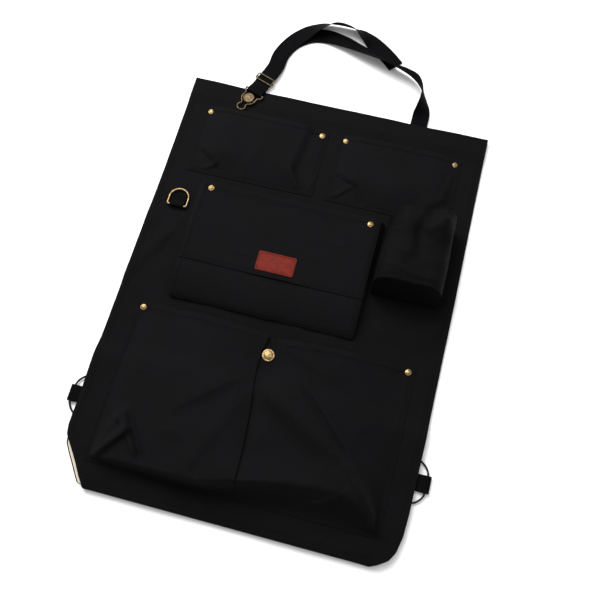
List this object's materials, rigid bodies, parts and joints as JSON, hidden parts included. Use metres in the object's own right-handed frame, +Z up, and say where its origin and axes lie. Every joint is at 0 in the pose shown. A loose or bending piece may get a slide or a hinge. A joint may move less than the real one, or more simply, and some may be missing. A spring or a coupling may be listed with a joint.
{
  "type": "hanging canvas organiser apron",
  "caption": "Black canvas organiser apron lying flat: patch, flap, bottle and pleated bottom pockets, brass rivets, D-ring, side cord loops and a clip-on adjustable strap.",
  "frame": {"origin": "middle of the panel's visible length and width, on its back face", "axes": "+X across the panel to the wearer's left as seen from the front, +Y toward the top hem and the strap, +Z up out of the front face"},
  "size_m": [0.4854, 0.7746, 0.0598],
  "materials": {
    "canvas": "black cotton canvas, matt, close plain weave",
    "lining": "beige cotton lining, matt",
    "webbing": "black ribbed polyester webbing, slight sheen",
    "leather": "red-brown leather, satin, stitched border, no mark",
    "brass": "antique brass plate, worn bright on the edges",
    "elastic": "black braided elastic cord"
  },
  "bodies": {
    "root": {"front_panel": "canvas", "back_lining": "lining", "top_hem_facing": "canvas", "upper_left_pocket": "canvas", "upper_right_pocket": "canvas", "middle_pocket_gusset": "canvas", "middle_pocket_lower_band": "canvas", "middle_pocket_front": "canvas", "leather_label": "leather", "bottle_pocket_wall": "canvas", "bottle_pocket_base": "canvas", "bottom_pocket_left": "canvas", "bottom_pocket_right": "canvas", "d_ring_tab": "webbing", "right_side_tab": "webbing", "left_side_tab": "webbing", "strap_sewn_end": "webbing", "strap_clip_loop": "webbing", "rivet_cap_1": "brass", "rivet_back_1": "brass", "rivet_cap_2": "brass", "rivet_back_2": "brass", "rivet_cap_3": "brass", "rivet_back_3": "brass", "rivet_cap_4": "brass", "rivet_back_4": "brass", "rivet_cap_5": "brass", "rivet_back_5": "brass", "rivet_cap_6": "brass", "rivet_back_6": "brass", "rivet_cap_7": "brass", "rivet_back_7": "brass", "rivet_cap_8": "brass", "rivet_back_8": "brass", "snap_post": "brass", "snap_stud": "brass", "button_tack": "brass", "elastic_cord": "elastic", "cord_crimp": "brass"},
    "strap": {"neck_strap": "webbing", "strap_free_end": "webbing"},
    "slider": {"strap_slider": "brass"},
    "clip": {"wire_clip": "brass"},
    "ring": {"d_ring": "brass"},
    "snap": {"bottom_pocket_pleat": "canvas", "snap_cap": "brass", "snap_socket": "brass"},
    "button": {"button_head": "brass"}
  },
  "joints": [
    {"name": "strap_swing", "type": "hinge", "parent": "root", "child": "strap", "pos_m": [-0.12545, 0.32, 0.0074], "axis": [0.9999, 0, -0.017], "range_deg": [0, 110]},
    {"name": "slider_slide", "type": "slide", "parent": "strap", "child": "slider", "axis": [0.342, 0.9397, 0], "range_m": [0, 0.01]},
    {"name": "clip_pivot", "type": "hinge", "parent": "root", "child": "clip", "pos_m": [-0.13, 0.3075, 0.0073], "axis": [-0.9063, 0.4226, 0], "range_deg": [0, 75]},
    {"name": "d_ring_swing", "type": "hinge", "parent": "root", "child": "ring", "pos_m": [-0.188, 0.098, 0.0055], "axis": [1, 0, 0], "range_deg": [-3, 165]},
    {"name": "snap_release", "type": "slide", "parent": "root", "child": "snap", "axis": [0, 0, 1], "range_m": [0, 0.01]},
    {"name": "button_swivel", "type": "hinge", "parent": "root", "child": "button", "pos_m": [-0.13604, 0.29454, 0.0073], "axis": [0, 0, 1], "continuous": true}
  ]
}
